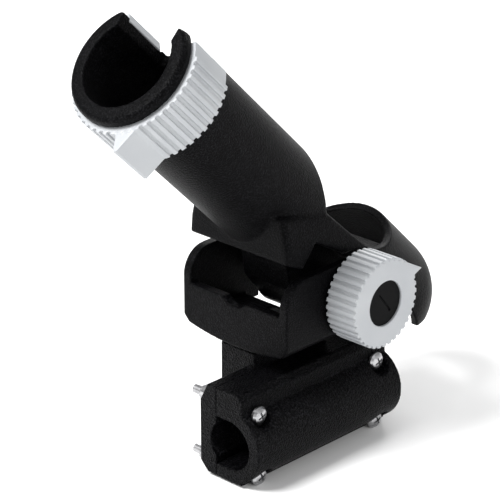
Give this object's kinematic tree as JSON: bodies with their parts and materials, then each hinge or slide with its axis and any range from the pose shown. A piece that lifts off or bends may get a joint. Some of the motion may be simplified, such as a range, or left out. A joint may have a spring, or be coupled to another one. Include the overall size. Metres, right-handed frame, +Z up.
{
  "type": "rod holder",
  "caption": "Rail-mount fishing rod holder: split rail clamp, swivel yoke, tilting tube with a reel-stem slot, a locking ring at the mouth and a ribbed tilt knob.",
  "frame": {"origin": "centre of the rail bore, half way along the clamp", "axes": "+Y along the rail towards the rear of the holder, -Y the mouth side, +X the tilt knob side, +Z up"},
  "size_m": [0.0821, 0.1939, 0.2049],
  "materials": {
    "black_nylon": "fine spark-eroded grain",
    "white_nylon": "satin moulded",
    "stainless": "bright",
    "brass": "machined",
    "acetal": "smooth"
  },
  "bodies": {
    "clamp": {"clamp_base": "black_nylon", "clamp_cover": "black_nylon", "clamp_screws": "stainless", "clamp_nuts": "stainless", "swivel_bolt": "stainless", "swivel_nut": "stainless", "swivel_disc": "acetal"},
    "yoke": {"yoke": "black_nylon", "swivel_washer": "stainless", "tilt_bolt": "stainless", "pivot_spacers": "stainless", "thrust_washer": "stainless"},
    "holder": {"holder_body": "black_nylon"},
    "ring": {"locking_ring": "white_nylon"},
    "knob": {"knob": "white_nylon", "knob_insert": "brass", "knob_cap": "black_nylon"}
  },
  "joints": [
    {"name": "yoke_swivel", "type": "hinge", "parent": "clamp", "child": "yoke", "pos_m": [-0.018, 0, 0.036], "axis": [0, 0, 1], "continuous": true},
    {"name": "holder_tilt", "type": "hinge", "parent": "yoke", "child": "holder", "pos_m": [-0.018, 0.0183, 0.0539], "axis": [1, 0, 0], "range_deg": [-20, 5]},
    {"name": "ring_turn", "type": "hinge", "parent": "holder", "child": "ring", "pos_m": [-0.018, -0.06639, 0.15709], "axis": [0, -0.7193, 0.6947], "range_deg": [0, 100]},
    {"name": "knob_turn", "type": "hinge", "parent": "yoke", "child": "knob", "pos_m": [0.022, 0.0183, 0.0539], "axis": [1, 0, 0], "continuous": true}
  ]
}
